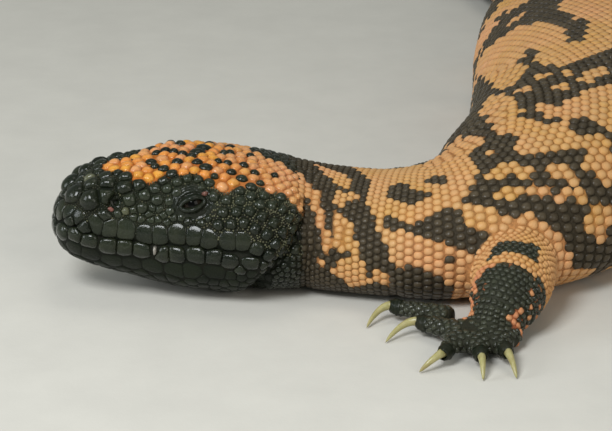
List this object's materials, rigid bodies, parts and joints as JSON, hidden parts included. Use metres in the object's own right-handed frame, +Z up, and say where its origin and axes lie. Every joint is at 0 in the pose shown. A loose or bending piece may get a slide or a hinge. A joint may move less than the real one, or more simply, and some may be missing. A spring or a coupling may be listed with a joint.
{
  "type": "gila monster",
  "caption": "Gila monster at life size, lying on its belly and chin with its neck bent, a stout beaded trunk, clawed feet and a thick curved tail.",
  "frame": {"origin": "centre of the bounding box on the floor that the animal lies on", "axes": "+Z up from the floor; the head points to -X, the trunk runs away along +Y and the tail curves round to +X; the picture looks along +Y"},
  "size_m": [0.2787, 0.3531, 0.0451],
  "materials": {
    "black_scales": "glossy black beaded skin",
    "orange_scales": "satin orange crown shields with black marks",
    "peach_scales": "satin peach beaded skin with black bands",
    "claw_horn": "translucent pale horn",
    "eye_wet_black": "wet black"
  },
  "bodies": {
    "root": {"head": "orange_scales", "lower_jaw": "black_scales", "eye_left": "eye_wet_black", "eye_right": "eye_wet_black", "neck": "peach_scales", "chest": "peach_scales", "trunk": "peach_scales", "hips": "peach_scales", "tail_base": "peach_scales", "tail_middle": "peach_scales", "tail_tip": "peach_scales", "front_left_upper_arm": "black_scales", "front_left_forearm": "black_scales", "front_left_foot": "black_scales", "front_left_claw_1": "claw_horn", "front_left_claw_2": "claw_horn", "front_left_claw_3": "claw_horn", "front_left_claw_4": "claw_horn", "front_left_claw_5": "claw_horn", "front_right_upper_arm": "black_scales", "front_right_forearm": "black_scales", "front_right_foot": "black_scales", "front_right_claw_1": "claw_horn", "front_right_claw_2": "claw_horn", "front_right_claw_3": "claw_horn", "front_right_claw_4": "claw_horn", "front_right_claw_5": "claw_horn", "hind_left_thigh": "black_scales", "hind_left_shin": "black_scales", "hind_left_foot": "black_scales", "hind_left_claw_1": "claw_horn", "hind_left_claw_2": "claw_horn", "hind_left_claw_3": "claw_horn", "hind_left_claw_4": "claw_horn", "hind_left_claw_5": "claw_horn", "hind_right_thigh": "black_scales", "hind_right_shin": "black_scales", "hind_right_foot": "black_scales", "hind_right_claw_1": "claw_horn", "hind_right_claw_2": "claw_horn", "hind_right_claw_3": "claw_horn", "hind_right_claw_4": "claw_horn", "hind_right_claw_5": "claw_horn"}
  },
  "joints": []
}
